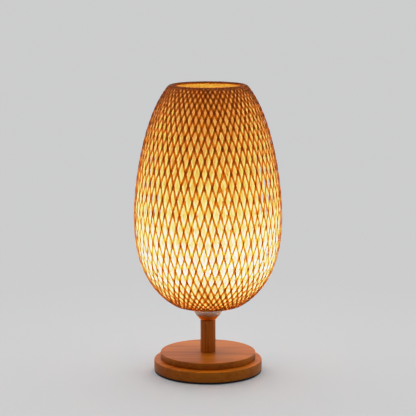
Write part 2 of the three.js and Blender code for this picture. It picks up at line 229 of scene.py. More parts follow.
def cut_away(obj, cutters):
    """The piece less the cutters, which are used up."""
    for cutter in cutters:
        difference = obj.modifiers.new("cut", "BOOLEAN")
        difference.operation = "DIFFERENCE"
        difference.solver = "EXACT"
        difference.object = cutter
    bpy.context.view_layer.update()
    result = obj.evaluated_get(bpy.context.evaluated_depsgraph_get())
    mesh = bpy.data.meshes.new_from_object(result)
    mesh.name = obj.name
    obj.modifiers.clear()
    bm = bmesh.new()
    bm.from_mesh(mesh)
    bmesh.ops.remove_doubles(bm, verts=bm.verts, dist=SLIVER)
    bmesh.ops.dissolve_degenerate(bm, edges=bm.edges, dist=SLIVER)
    bmesh.ops.triangulate(bm, faces=[f for f in bm.faces if len(f.verts) > 4])
    bm.to_mesh(mesh)
    bm.free()
    obj.data = mesh
    for cutter in cutters:
        bpy.data.objects.remove(cutter, do_unlink=True)
    smooth(mesh)
    return obj


def wire_mesh(name, points, radius):
    """A round wire through points in millimetres, as a mesh without an object."""
    curve = bpy.data.curves.new(name, "CURVE")
    curve.dimensions = "3D"
    curve.bevel_depth = radius * MM
    curve.bevel_resolution = 3
    curve.use_fill_caps = True
    spline = curve.splines.new("POLY")
    spline.points.add(len(points) - 1)
    for point, (x, y, z) in zip(spline.points, points):
        point.co = (x * MM, y * MM, z * MM, 1)
    draft = new_object(name + "_draft", curve)
    bpy.context.view_layer.update()
    mesh = bpy.data.meshes.new_from_object(draft.evaluated_get(bpy.context.evaluated_depsgraph_get()))
    bpy.data.objects.remove(draft, do_unlink=True)
    return mesh


def stand_for(obj, body, slot, material, *nodes):
    """Gives a new piece its body and material, and hides the CAD nodes that it replaces; the slot is not
    used.
    """
    obj.data.materials.clear()
    obj.data.materials.append(material)
    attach(obj, body)
    if nodes:
        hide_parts(*nodes)
    return obj


# ---- The strips' path ----

def shade_radius(z):
    reach, power, root = UPPER if z > WIDEST else LOWER
    return SHADE_RADIUS * (1 - (abs(z - WIDEST) / reach) ** power) ** (1 / root)


def distance_along(points):
    return np.r_[0, np.cumsum(np.linalg.norm(np.diff(points, axis=0), axis=1))]


def respaced(points, step):
    """The same line with its points evenly spaced, about a step apart."""
    along = distance_along(points)
    at = np.linspace(0, along[-1], int(along[-1] / step) + 1)
    return np.stack([np.interp(at, along, points[:, k]) for k in (0, 1)], axis=1)


def unit(vectors):
    return vectors / np.linalg.norm(vectors, axis=1)[:, None]


def shade_face():
    """The shade's outer face in the (radius, height) plane, from the bottom lip to the rim's crest."""
    wall = np.array([(shade_radius(z), z) for z in np.linspace(WALL_START, WALL_END, 400)])
    bottom = bend((BOTTOM_FLAT, SHADE_BOTTOM), (BOTTOM_CORNER, SHADE_BOTTOM), wall[0])
    rim = bend(wall[-1], (RIM_CORNER, RIM_TOP), (RIM_RADIUS, RIM_TOP))
    lip = np.array([(BOTTOM_LIP, SHADE_BOTTOM)])
    return respaced(np.concatenate([lip, bottom, wall[1:-1], rim]), FACE_STEP)


def normals_of(path):
    """Unit normals to the right of the path, which is outwards on the shade's outer face."""
    along = unit(np.gradient(path, axis=0))
    return np.stack([along[:, 1], -along[:, 0]], axis=1)


def strip_path():
    """A strip's middle line: up the outer layer, over the rim and down the inner layer.

    Returns arrays of points, normals and turn about Z, and the index where the inner layer starts.
    The inner layer mirrors the outer one, half a pitch round, so that its crossings fill the
    outer openings.
    """
    face = shade_face()
    out = normals_of(face)
    sine = np.clip(CLAIRAUT / face[:, 0], 0, STEEPEST_SINE)
    rate = sine / np.sqrt(1 - sine**2) / face[:, 0]
    turn = np.r_[0, np.cumsum((rate[1:] + rate[:-1]) / 2 * np.diff(distance_along(face)))]
    half_pitch = PITCH / 2
    odd = 2 * round((2 * turn[-1] / half_pitch + FOLD_TWIST - 1) / 2) + 1
    inner_turn = odd * half_pitch - turn[::-1]
    outer = face - out * LAYER / 2
    inner = (face - out * (SHADE_WALL - LAYER / 2))[::-1]
    fold_radius = (SHADE_WALL - LAYER) / 2
    round_rim = np.radians(np.linspace(90, 270, FOLD_SAMPLES + 2))[1:-1]
    round_fold = np.stack([np.cos(round_rim), np.sin(round_rim)], axis=1)
    fold = np.array([RIM_RADIUS, RIM_TOP - SHADE_WALL / 2]) + fold_radius * round_fold
    fold_turn = np.linspace(turn[-1], inner_turn[0], FOLD_SAMPLES + 2)[1:-1]
    points = np.concatenate([outer, fold, inner])
    normals = np.concatenate([out, round_fold, -out[::-1]])
    return points, normals, np.concatenate([turn, fold_turn, inner_turn]), len(outer) + len(fold)


def sampled_path():
    """The strips' path thinned to a few samples for each crossing, as named columns."""
    points, normals, turn, inner_start = strip_path()
    radius = points[:, 0]
    along = distance_along(points)
    rate = np.maximum(np.gradient(turn) / np.maximum(np.gradient(along), SAME), SAME)
    between = PITCH / 2 / rate
    cosine = 1 / np.sqrt(1 + (rate * radius) ** 2)
    step = np.clip(between / SAMPLES_PER_CROSSING, SHORTEST_STEP, LONGEST_STEP)
    count = np.r_[0, np.cumsum(np.diff(along) / step[1:])]
    wanted = np.linspace(0, count[-1], int(count[-1]) + 1)
    keep = np.searchsorted(count, wanted).clip(0, len(count) - 1)
    keep = np.unique(np.r_[keep, inner_start])
    rows = {
        "point": points,
        "normal": normals,
        "along": along,
        "turn": turn,
        "between": between,  # millimetres from one crossing to the next
        "crossing": turn * STRIPS / math.pi,  # whole numbers are crossings
        "room": 2 * math.pi * radius * cosine / STRIPS,  # from a strip's middle to the next one's
    }
    rows = {key: value[keep] for key, value in rows.items()}
    return rows, int(np.searchsorted(keep, inner_start))


# ---- The strips' meshes ----

# The points round a strip, as shares of half its width and half its thickness: a thin lens.
LENS_ACROSS = np.array([-1, -0.86, 0, 0.86, 1, 0.86, 0, -0.86])
LENS_UP = np.array([0, 0.82, 1, 0.82, 0, -0.82, -1, -0.82])
CORNERS = len(LENS_ACROSS)


def strip_points(part, hand, angle, width):
    """The points of one strip: CORNERS of them round each sample of its middle line."""
    lift = np.minimum(1, part["between"] / FULL_LIFT_SPACING) * WEAVE_LIFT
    lift = hand * lift * np.cos(math.pi * part["crossing"])
    r, z = part["point"].T
    nr, nz = part["normal"].T
    r, z = r + lift * nr, z + lift * nz
    centre = np.stack([r * np.cos(angle), r * np.sin(angle), z], axis=1)
    normal = np.stack([nr * np.cos(angle), nr * np.sin(angle), nz], axis=1)
    forward = unit(np.gradient(centre, axis=0))
    side = unit(np.cross(normal, forward))
    up = np.cross(forward, side)
    across = width[:, None, None] / 2 * LENS_ACROSS[:, None]
    rise = STRIP_THICKNESS / 2 * LENS_UP[:, None]
    return (centre[:, None] + side[:, None] * across + up[:, None] * rise).reshape(-1, 3)


def strip_faces(samples):
    """The faces round one strip and over its two ends, as indices into its points."""
    low = np.arange(samples - 1)[:, None] * CORNERS + np.arange(CORNERS)
    high = low + CORNERS
    quads = np.stack([low, np.roll(low, -1, axis=1), np.roll(high, -1, axis=1), high], axis=2)
    start = list(range(CORNERS))
    end = [(samples - 1) * CORNERS + corner for corner in reversed(start)]
    return [*quads.reshape(-1, 4)[:, ::-1].tolist(), start, end]


def strips_mesh(name, rows, first, last, hand, strip_width):
    """All the strips of one direction (hand is 1 or -1) between two samples of the path, as one piece.

    Its attributes give the material each strip's tint, the place along and across it, and how
    near a crossing it is, where the material paints shade.
    """
    part = {key: value[first:last] for key, value in rows.items()}
    samples = last - first
    one_strip = strip_faces(samples)
    # How near a crossing each sample is: the material paints shade there.
    crossing_shade = np.cos(math.pi * part["crossing"]) ** 2
    points, faces = [], []
    tints, alongs = [], []
    for i in range(STRIPS):
        character = np.random.default_rng(1000 * (hand + 2) + i)
        shift = character.normal(0, UNEVEN_PLACE)
        tint = character.random()
        wide = character.normal(1, UNEVEN_WIDTH)
        phases = character.uniform(0, 2 * math.pi, 2)
        waves = character.uniform(*DRIFT_WAVES, 2)
        drift = sum(DRIFT * np.sin(2 * math.pi * part["along"] / w + p) for w, p in zip(waves, phases))
        angle = PITCH * (i + shift + drift) + hand * part["turn"]
        width = np.minimum(strip_width * wide, MOST_OF_ROOM * part["room"])
        points.append(strip_points(part, hand, angle, width))
        base = i * samples * CORNERS
        faces.extend([base + corner for corner in face] for face in one_strip)
        tints.append(np.full(samples * CORNERS, tint))
        alongs.append(np.repeat(part["along"] + FIBRE_OFFSET * i, CORNERS))
    mesh = bpy.data.meshes.new(name)
    mesh.from_pydata((np.concatenate(points) * MM).tolist(), [], faces)
    columns = {
        "strip_tint": np.concatenate(tints),
        "strip_along": np.concatenate(alongs),
        "strip_across": np.tile(LENS_ACROSS, samples * STRIPS),
        "strip_overlap": np.tile(np.repeat(crossing_shade, CORNERS), STRIPS),
    }
    for label, values in columns.items():
        attribute = mesh.attributes.new(label, "FLOAT", "POINT")
        attribute.data.foreach_set("value", values.astype(np.float32))
    mesh.update()
    smooth(mesh, angle=60)
    return new_object(name, mesh)


# ---- Materials ----

def material(name):
    m = bpy.data.materials.new(name)
    m.use_nodes = True
    nodes, links = m.node_tree.nodes, m.node_tree.links
    return m, nodes, links, nodes["Principled BSDF"]


def set_sockets(node, sockets):
    for name, value in sockets.items():
        node.inputs[name].default_value = value


def add_node(nodes, kind, sockets=None, **settings):
    """A new shader node with its settings, and values for sockets that nothing is linked to."""
    node = nodes.new("ShaderNode" + kind)
    for name, value in settings.items():
        setattr(node, name, value)
    set_sockets(node, sockets or {})
    return node


def ramp(nodes, stops):
    """A colour ramp through (position, colour) stops."""
    node = add_node(nodes, "ValToRGB")
    elements = node.color_ramp.elements
    for index, (position, color) in ((0, stops[0]), (1, stops[-1])):
        elements[index].position = position
        elements[index].color = (*color, 1)
    for position, color in stops[1:-1]:
        elements.new(position).color = (*color, 1)
    return node


def noise_at(nodes, links, place, sockets):
    """The value of a noise texture over a place socket."""
    noise = add_node(nodes, "TexNoise", sockets)
    links.new(place, noise.inputs["Vector"])
    return noise.outputs["Fac"]


def stretched(nodes, links, place, scale):
    """The place socket with each axis multiplied by its own scale."""
    node = add_node(nodes, "VectorMath", {1: scale}, operation="MULTIPLY")
    links.new(place, node.inputs[0])
    return node.outputs[0]


def add_relief(nodes, links, shader, height, strength, distance):
    """Fine relief on the surface, from a height socket. The distance is in metres."""
    bump = add_node(nodes, "Bump", {"Strength": strength, "Distance": distance})
    links.new(height, bump.inputs["Height"])
    links.new(bump.outputs[0], shader.inputs["Normal"])


def mix_in(nodes, links, shader, other, share):
    """Shows this share of another shader in place of the surface's own."""
    both = add_node(nodes, "MixShader", {0: share})
    links.new(shader.outputs[0], both.inputs[1])
    links.new(other.outputs[0], both.inputs[2])
    links.new(both.outputs[0], nodes["Material Output"].inputs["Surface"])


def bamboo(name, skin_stops, glow_stops, see_through, overlap_shade):
    """Split bamboo: a satin skin, fibres along each strip, and light that comes through it.

    overlap_shade is painted shade: the share of the light through each face that is kept near a crossing.
    """
    m, nodes, links, shader = material(name)
    across, along, tint, overlap = (
        add_node(nodes, "Attribute", attribute_name=label).outputs["Fac"]
        for label in ("strip_across", "strip_along", "strip_tint", "strip_overlap")
    )
    place = add_node(nodes, "CombineXYZ")
    for axis, source in (("X", across), ("Y", along), ("Z", tint)):
        links.new(source, place.inputs[axis])
    # Fibres are fine across a strip and long along it, and differ from strip to strip.
    fibre_place = stretched(nodes, links, place.outputs[0], (3.5, 0.045, 40))
    fibre = noise_at(nodes, links, fibre_place, {"Scale": 1.6, "Detail": 4})
    tone = add_node(nodes, "Math", {1: 0.35}, operation="MULTIPLY_ADD")
    links.new(tint, tone.inputs[0])
    links.new(fibre, tone.inputs[2])
    skin = ramp(nodes, skin_stops)
    glow = ramp(nodes, glow_stops)
    for colors in (skin, glow):
        links.new(tone.outputs[0], colors.inputs[0])
    links.new(skin.outputs[0], shader.inputs["Base Color"])
    set_sockets(shader, {"Roughness": 0.5, "Specular IOR Level": 0.12})
    add_relief(nodes, links, shader, fibre, strength=0.25, distance=0.0003)
    # Painted shade: the light through a strip is dimmed near each crossing.
    crossing_shade = add_node(nodes, "MixRGB", {"Color2": (*overlap_shade, 1)}, blend_type="MULTIPLY")
    links.new(overlap, crossing_shade.inputs["Fac"])
    links.new(glow.outputs[0], crossing_shade.inputs["Color1"])
    through = add_node(nodes, "BsdfTranslucent")
    links.new(crossing_shade.outputs[0], through.inputs["Color"])
    mix_in(nodes, links, shader, through, see_through)
    return m


def grain_scale(grain_axis, across, along):
    """A noise scale for each axis, with the noise drawn out along the grain."""
    scale = [across] * 3
    scale[grain_axis] = along
    return scale


def wood(name, dark, light, grain_axis, contrast, side_shade=1.0):
    """Oiled wood whose fibres run along one axis (0 is X, 2 is Z).

    The tone for the sides darkens every face that doesn't face up, the turned sides and the underside:
    painted shade, which makes the top look more lit than the sides.
    """
    m, nodes, links, shader = material(name)
    place = add_node(nodes, "TexCoord")
    fibre_scale = grain_scale(grain_axis, across=480.0, along=9.0)
    fibre_place = stretched(nodes, links, place.outputs["Object"], fibre_scale)
    fibre = noise_at(nodes, links, fibre_place, {"Scale": 1.0, "Detail": 5})
    figure_scale = grain_scale(grain_axis, across=34.0, along=5.0)
    figure_place = stretched(nodes, links, place.outputs["Object"], figure_scale)
    figure = noise_at(nodes, links, figure_place, {"Scale": 1.0, "Detail": 3, "Distortion": 0.4})
    mixed = add_node(nodes, "Mix", {"Factor": 0.45}, data_type="FLOAT")
    links.new(figure, mixed.inputs[2])
    links.new(fibre, mixed.inputs[3])
    half_range = 0.2 / contrast
    tone = ramp(nodes, [(0.5 - half_range, dark), (0.5 + half_range, light)])
    links.new(mixed.outputs[0], tone.inputs[0])
    # Painted shade: faces that turn away from straight up are darkened, down to the tone for the sides.
    facing = add_node(nodes, "SeparateXYZ")
    links.new(place.outputs["Normal"], facing.inputs[0])
    flatness = add_node(nodes, "MapRange", {"From Max": 0.6, "To Min": side_shade, "To Max": 1.0})
    links.new(facing.outputs["Z"], flatness.inputs["Value"])
    shaded_tone = add_node(nodes, "VectorMath", operation="SCALE")
    links.new(tone.outputs[0], shaded_tone.inputs[0])
    links.new(flatness.outputs[0], shaded_tone.inputs["Scale"])
    links.new(shaded_tone.outputs[0], shader.inputs["Base Color"])
    set_sockets(shader, {
        "Roughness": 0.45, "Specular IOR Level": 0.09, "Coat Weight": 0.04, "Coat Roughness": 0.22,
    })
    add_relief(nodes, links, shader, fibre, strength=0.12, distance=0.0002)
    return m


def worn(name, color, roughness, metallic=0.0, spread=0.08, scale=60.0, bump_strength=0.05):
    """Metal, rubber, plastic or ceramic with a fine uneven finish."""
    m, nodes, links, shader = material(name)
    place = add_node(nodes, "TexCoord")
    noise = noise_at(nodes, links, place.outputs["Object"], {"Scale": scale, "Detail": 4})
    dark = tuple(c * (1 - 2 * spread) for c in color)
    light = tuple(min(1, c * (1 + spread)) for c in color)
    tone = ramp(nodes, [(0.3, dark), (0.7, light)])
    links.new(noise, tone.inputs[0])
    links.new(tone.outputs[0], shader.inputs["Base Color"])
    smoothest = max(0.02, roughness * 0.8)
    roughest = min(1, roughness * 1.2)
    uneven = add_node(nodes, "MapRange", {"To Min": smoothest, "To Max": roughest})
    links.new(noise, uneven.inputs["Value"])
    links.new(uneven.outputs[0], shader.inputs["Roughness"])
    set_sockets(shader, {"Metallic": metallic})
    add_relief(nodes, links, shader, noise, strength=bump_strength, distance=0.0002)
    return m


def glowing(name, color, strength, clear=0.0):
    """A warm glow, and where clear is over 0 that share of the light goes straight through."""
    m, nodes, links, shader = material(name)
    place = add_node(nodes, "TexCoord")
    noise = noise_at(nodes, links, place.outputs["Object"], {"Scale": 90})
    tone = ramp(nodes, [(0.3, (0.90, 0.84, 0.74)), (0.7, (1.0, 0.94, 0.84))])
    links.new(noise, tone.inputs[0])
    links.new(tone.outputs[0], shader.inputs["Base Color"])
    set_sockets(shader, {
        "Roughness": 0.35, "Emission Color": (*color, 1), "Emission Strength": strength,
    })
    if clear:
        mix_in(nodes, links, shader, add_node(nodes, "BsdfTransparent"), clear)
    return m


# Each bamboo has three stops of fibre tone, from the darkest fibres to the lightest.
# The outer and inner strips are the same strips folded over the rim: the outer skin's far darker stops
# are painted shade, and the inner skin's far lighter stops are painted light from the lamp inside.
OUTER_BAMBOO = bamboo(
    "outer_bamboo",
    skin_stops=[(0.35, (0.17, 0.025, 0.002)), (0.65, (0.25, 0.045, 0.004)), (0.95, (0.36, 0.08, 0.008))],
    glow_stops=[(0.35, (0.80, 0.57, 0.18)), (0.65, (0.86, 0.64, 0.25)), (0.95, (0.90, 0.69, 0.28))],
    see_through=0.61,
    overlap_shade=(0.82, 0.67, 0.50),
)
INNER_BAMBOO = bamboo(
    "inner_bamboo",
    skin_stops=[(0.35, (0.92, 0.63, 0.18)), (0.65, (0.96, 0.72, 0.25)), (0.95, (0.98, 0.80, 0.33))],
    glow_stops=[(0.35, (0.87, 0.75, 0.61)), (0.65, (0.90, 0.80, 0.68)), (0.95, (0.93, 0.85, 0.75))],
    see_through=0.78,
    overlap_shade=(1.0, 1.0, 0.96),
)
BASE_WOOD = wood(
    "base_wood", dark=(0.40, 0.080, 0.003), light=(0.76, 0.225, 0.009), grain_axis=0, contrast=1.3,
    side_shade=0.58,
)
POST_WOOD = wood(
    "post_wood", dark=(0.30, 0.065, 0.003), light=(0.70, 0.200, 0.014), grain_axis=2, contrast=1.7,
)
PAD = worn("pad_rubber", (0.008, 0.008, 0.008), 0.85, scale=900.0, bump_strength=0.3)
ZINC = worn("zinc_steel", (0.62, 0.63, 0.65), 0.35, metallic=1.0)
BOWL_METAL = worn("polished_bowl", (0.84, 0.52, 0.27), 0.10, metallic=1.0, spread=0.02)
GREY_METAL = worn("grey_collar", (0.58, 0.43, 0.33), 0.38, metallic=1.0, spread=0.05)
BRASS = worn("contact_brass", (0.80, 0.58, 0.25), 0.3, metallic=1.0)
CERAMIC = worn("socket_ceramic", (0.82, 0.79, 0.72), 0.4)
BLACK = worn("black_plastic", (0.012, 0.012, 0.012), 0.45)
WIRE = worn("hoop_wire", (0.30, 0.27, 0.24), 0.5, metallic=1.0)
BULB_LIGHT = (1.0, 0.90, 0.62)
GLASS = glowing("frosted_glass", BULB_LIGHT, strength=1, clear=0.985)
PHOSPHOR = glowing("filament_coat", BULB_LIGHT, strength=150)

# ---- Shade ----

rows, inner_first = sampled_path()
total = len(rows["along"])
for hand, word in ((1, "right"), (-1, "left")):
    outer = strips_mesh(f"outer_strips_leaning_{word}", rows, 0, inner_first + 1, hand, STRIP_WIDTH)
    stand_for(outer, STAND, "bamboo", OUTER_BAMBOO, "shade_outer_weave", "shade_rim_fold")
    inner = strips_mesh(f"inner_strips_leaning_{word}", rows, inner_first, total, hand, INNER_WIDTH)
    stand_for(inner, STAND, "bamboo", INNER_BAMBOO, "shade_inner_weave")

# ---- Base and post ----

TUBE_HOLE = 5.3  # radius of the holes that the threaded tube passes through
SCREW_CIRCLE = 48
SCREW_ANGLES = (30, 150, 270)
CORD_HEIGHT = 8.2  # middle of the cord's channel and bush
NUT_ACROSS = 16
SCREW_SHANK = 1.6


def screw_place(degrees):
    angle = math.radians(degrees)
    return SCREW_CIRCLE * math.cos(angle), SCREW_CIRCLE * math.sin(angle)


def screw_holes():
    outline = [(0, -2), (3.9, -2), (3.9, 3.2), (1.9, 5.5), (1.9, 23.8), (0, 24.1)]
    return [turned("cutter", outline, 32, place=screw_place(d)) for d in SCREW_ANGLES]


GROOVE_DEPTH = 0.4
pad_underside = [(0, 0)]
for groove in (22, 45, 68):
    pad_underside += [
        (groove - 1.2, 0), (groove - 0.8, GROOVE_DEPTH), (groove + 0.8, GROOVE_DEPTH), (groove + 1.2, 0),
    ]
pad = turned(
    "base_pad_moulded",
    [*pad_underside, (74.0, 0), (74.6, 0.5), (74.6, 2.0), (74.3, 2.4), (0, 2.4)],
)
stand_for(pad, STAND, "pad_rubber", PAD, "base_pad")

lower = turned(
    "lower_disc_turned",
    [(22, 2.7), (74.3, 2.7), (74.8, 2.9), (75, 3.4), *arc(73, 15.6, 2, 0, 90, 8),
     (TUBE_HOLE, 17.6), (TUBE_HOLE, 10.7), (22, 10.7)],
)
channel = turned("cutter", [(0, 16), (4.7, 16), (4.7, 80), (0, 80)], 48, along_y=CORD_HEIGHT)
cut_away(lower, [channel, *screw_holes()])
stand_for(lower, STAND, "base_wood", BASE_WOOD, "lower_base_disc")

upper = turned(
    "upper_disc_turned",
    [(TUBE_HOLE, 17.9), (65.4, 17.9), (65.8, 18.0), (66, 18.5), *arc(65.3, 26.5, 0.7, 0, 90, 4),
     (TUBE_HOLE, 27.2)],
)
cut_away(upper, screw_holes())
stand_for(upper, STAND, "base_wood", BASE_WOOD, "upper_base_disc")

post = turned(
    "post_turned",
    [(TUBE_HOLE, 27.5), (10.2, 27.5), (10.5, 27.8), *arc(10.1, 71.9, 0.4, 0, 90, 4), (TUBE_HOLE, 72.3)],
    96,
)
stand_for(post, STAND, "post_wood", POST_WOOD, "post")

for number, degrees in enumerate(SCREW_ANGLES, 1):
    x, y = screw_place(degrees)
    thread, wobble = screw_thread(SCREW_SHANK, bottom=8.5, top=20.5, pitch=1.8, depth=0.55)
    head = [(0, 3.2), *arc(3.1, 3.4, 0.2, -90, 0, 2)]
    outline = [*head, (SCREW_SHANK, 5.2), (SCREW_SHANK, 8.0), *thread, (0, 23.5)]
    screw = turned(f"wood_screw_{number}", outline, 32, wobble, place=(x, y))
    cross_slots = [box_cutter(size, (x, y, 3.2)) for size in ((3.6, 0.8, 2.4), (0.8, 3.6, 2.4))]
    cut_away(screw, cross_slots)
    stand_for(screw, STAND, "zinc_steel", ZINC, f"base_screw_{number}")

bush = turned(
    "cord_bush_moulded",
    [(3.5, 58), (4.0, 58), (4.3, 58.4), (4.3, 75.3), (5.0, 75.3), *arc(4.7, 76.2, 0.6, 0, 90, 4),
     *arc(4.1, 76.2, 0.6, 90, 180, 4)],
    64, along_y=CORD_HEIGHT,
)
stand_for(bush, STAND, "black_plastic", BLACK, "cord_inlet_bush")

TUBE_BORE, TUBE_END = 3.6, 4.6  # radii of the bore and of the chamfered ends
thread, wobble = screw_thread(5.0, bottom=4.6, top=78.6, pitch=1.0, depth=0.5, samples=6)
tube_outline = [(TUBE_BORE, 4), (TUBE_END, 4), *thread, (TUBE_END, 79), (TUBE_BORE, 79)]
tube = turned("threaded_tube_cut", tube_outline, 40, wobble)
stand_for(tube, STAND, "zinc_steel", ZINC, "threaded_tube")
washer_outline = filleted([(TUBE_HOLE, 9.2), (13, 9.2), (13, 10.4), (TUBE_HOLE, 10.4)])
washer = turned("tube_washer_stamped", washer_outline, 64)
stand_for(washer, STAND, "zinc_steel", ZINC, "tube_washer")
nut = hexagon_nut("tube_nut_chamfered", TUBE_HOLE, NUT_ACROSS, bottom=5.3, top=8.9)
stand_for(nut, STAND, "zinc_steel", ZINC, "tube_nut")


# ---- Lamp holder ----

BOWL_CENTRE = (-6.95, 95.03)  # radius and height of the middle of the bowl's arc
BOWL_ARC = 28.47
BOWL_METAL_THICKNESS = 0.9


def bowl_radius(z, inset=0.0):
    across, height = BOWL_CENTRE
    return across + math.sqrt((BOWL_ARC - inset) ** 2 - (height - z) ** 2)


def bowl_points(start, end, inset=0.0, steps=14):
    """Outline points on the bowl's arc between two heights."""
    return [(bowl_radius(z, inset), z) for z in np.linspace(start, end, steps + 1)]


dome = turned(
    "holder_dome_spun",
    [(TUBE_HOLE, 72.6), (10.0, 72.6), *bowl_points(72.8, 79.9), (17.0, 80.1), (15.9, 80.1), (15.9, 86),
     (15, 86), (15, 78.6), *bowl_points(78.3, 73.8, BOWL_METAL_THICKNESS), (TUBE_HOLE, 73.8)],
)
stand_for(dome, STAND, "polished_bowl", BOWL_METAL, "holder_dome")
lock_nut = hexagon_nut("dome_nut_chamfered", TUBE_HOLE, NUT_ACROSS, bottom=74.1, top=77.7)
stand_for(lock_nut, STAND, "zinc_steel", ZINC, "dome_lock_nut")

SKIRT_PITCH = 2.0
SKIRT_THREAD = 19.6
thread, wobble = screw_thread(SKIRT_THREAD, bottom=92.6, top=120.0, pitch=SKIRT_PITCH, depth=0.8)
skirt = turned(
    "holder_skirt_turned",
    [(16.3, 80.5), (17.2, 80.5), (17.55, 80.7), *bowl_points(81.0, 89.6), (23.8, 90.3), (24, 90.5),
     (24, 91.8), (23.8, 92), (SKIRT_THREAD, 92), *thread, (19.2, 120.6), (18.8, 121), (17.3, 121),
     (17.3, 87.9), (16.3, 87.9)],
    128, wobble,
)
stand_for(skirt, STAND, "grey_collar", GREY_METAL, "holder_skirt")

core = turned(
    "holder_core_fired",
    filleted([(0, 88.2), (16.9, 88.2), (16.9, 114), (14.8, 114), (14.8, 92.4), (0, 92.4)], 0.5), 96,
)
TERMINAL_PLACE = 9  # to either side of the middle
terminal_hole = [(0, 83), (1.9, 83), (1.9, 91.3), (0, 91.3)]
terminal_holes = [
    turned("cutter", terminal_hole, 32, place=(side * TERMINAL_PLACE, 0)) for side in (-1, 1)
]
cut_away(core, terminal_holes)
stand_for(core, STAND, "socket_ceramic", CERAMIC, "holder_core")

EDISON_PITCH = 3.629
SLEEVE_BORE, SLEEVE_OUTSIDE = 13.75, 14.45
thread, wobble = screw_thread(SLEEVE_BORE, bottom=93.4, top=111.0, pitch=EDISON_PITCH, depth=-0.45)
sleeve = turned(
    "screw_sleeve_rolled",
    [(SLEEVE_BORE, 92.8), (SLEEVE_OUTSIDE, 92.8), (SLEEVE_OUTSIDE, 111.3), (14.25, 111.5), (13.95, 111.5),
     (SLEEVE_BORE, 111.3), *reversed(thread)],
    96, wobble,
)
stand_for(sleeve, STAND, "contact_brass", BRASS, "screw_sleeve")


def contact_tongue():
    """A thin strip that bows up in the middle, with round ends."""
    half_length, half_width, thickness = 4.5, 1.7, 0.35
    seat, bow = 92.7, 0.2
    tip_share = 0.2  # of the full width is left at the very ends
    bm = bmesh.new()
    slices = []
    for x in np.linspace(-half_length, half_length, 25):
        rounding = max(0, abs(x) - (half_length - half_width)) / half_width
        width = half_width * math.sqrt(max(tip_share**2, 1 - rounding**2))
        z = seat + bow * (1 - (x / half_length) ** 2)
        corners = ((-width, z), (width, z), (width, z + thickness), (-width, z + thickness))
        slices.append([bm.verts.new((x * MM, y * MM, h * MM)) for y, h in corners])
    for one, other in zip(slices, slices[1:]):
        for i in range(4):
            bm.faces.new([one[i], one[(i + 1) % 4], other[(i + 1) % 4], other[i]])
    bm.faces.new(slices[0])
    bm.faces.new(slices[-1])
    bmesh.ops.recalc_face_normals(bm, faces=bm.faces)
    mesh = bpy.data.meshes.new("centre_contact_sprung")
    bm.to_mesh(mesh)
    bm.free()
    smooth(mesh)
    return new_object("centre_contact_sprung", mesh)


stand_for(contact_tongue(), STAND, "contact_brass", BRASS, "centre_contact")

for side, word in ((-1, "live"), (1, "neutral")):
    outline = filleted([(0, 84.8), (3, 84.8), (3, 87), (1.5, 87), (1.5, 91), (0, 91)], 0.35)
    terminal = turned(f"{word}_terminal_slotted", outline, 48, place=(side * TERMINAL_PLACE, 0))
    slot = box_cutter((0.8, 8, 1.8), (side * TERMINAL_PLACE, 0, 84.8))
    cut_away(terminal, [slot])
    stand_for(terminal, STAND, "contact_brass", BRASS, f"terminal_screw_{word}")

# ---- Shade fitting ----

HOOP_WIRE = 0.65
HOOP_DEPTH = 2  # between the two layers of strips
hoops = (("top", RIM_RADIUS, RIM_TOP - HOOP_DEPTH), ("bottom", BOTTOM_LIP, SHADE_BOTTOM + HOOP_DEPTH))
for word, radius, height in hoops:
    round_wire = arc(radius, height, HOOP_WIRE, 0, 330, 11)
    ring = turned(f"{word}_hoop_bent", round_wire, 160)
    stand_for(ring, STAND, "hoop_wire", WIRE, f"shade_{word}_hoop")

support_outline = filleted([(20, 92.3), (37, 92.3), (37, 93.1), (20, 93.1)], 0.25)
support = turned("support_plate_pressed", support_outline)
stand_for(support, STAND, "zinc_steel", ZINC, "shade_support_plate")
clamp_edge = filleted([(20, 98.8), (20, 97.7), (36, 97.7), (36, 98.8)], 0.25)
clamp_bead = [tuple(p) for p in bend((33, 98.8), (29, 99.6), (25, 98.8), 8)]
clamp = turned("clamp_plate_pressed", clamp_edge + clamp_bead)
stand_for(clamp, STAND, "zinc_steel", ZINC, "shade_clamp_plate")

GRIP_RADIUS = 24.5
GRIP_RIBS = 36
RIB_DEPTH = 0.8
thread, cut_thread = screw_thread(20.1, bottom=99.6, top=105.5, pitch=SKIRT_PITCH, depth=-0.6)


def ribbed(r, z, angle):
    if abs(r - GRIP_RADIUS) > SAME:
        return cut_thread(r, z, angle)
    return -RIB_DEPTH / 2 * (1 - math.cos(GRIP_RIBS * angle))


ring_nut = turned(
    "ring_nut_ribbed",
    [(20.1, 99.1), (26.7, 99.1), (27, 99.4), (27, 100.8), (26.7, 101.1), (25.2, 101.1),
     (GRIP_RADIUS, 101.4), (GRIP_RADIUS, 105.2), (23.9, 105.8), (23.6, 106), (20.4, 106),
     *reversed(thread)],
    GRIP_RIBS * 8, ribbed,
)
stand_for(ring_nut, STAND, "black_plastic", BLACK, "shade_ring_nut")

# ---- Bulb ----

GLOBE_CENTRE = 149
GLOBE_OUTSIDE, GLOBE_INSIDE = 22.5, 21.6
neck_outside = [(12, 101.6), (12, 119), (12.6, 126)]
neck_inside = [(11.7, 126), (11.1, 119), (11.1, 101.6)]
ball_outside = [*arc(0, GLOBE_CENTRE, GLOBE_OUTSIDE, -48, 88, 30), (0, GLOBE_CENTRE + GLOBE_OUTSIDE)]
ball_inside = [(0, GLOBE_CENTRE + GLOBE_INSIDE), *arc(0, GLOBE_CENTRE, GLOBE_INSIDE, 88, -48, 30)]
globe = turned("bulb_globe_blown", neck_outside + ball_outside + ball_inside + neck_inside, 96)
stand_for(globe, BULB, "frosted_glass", GLASS, "bulb_globe")

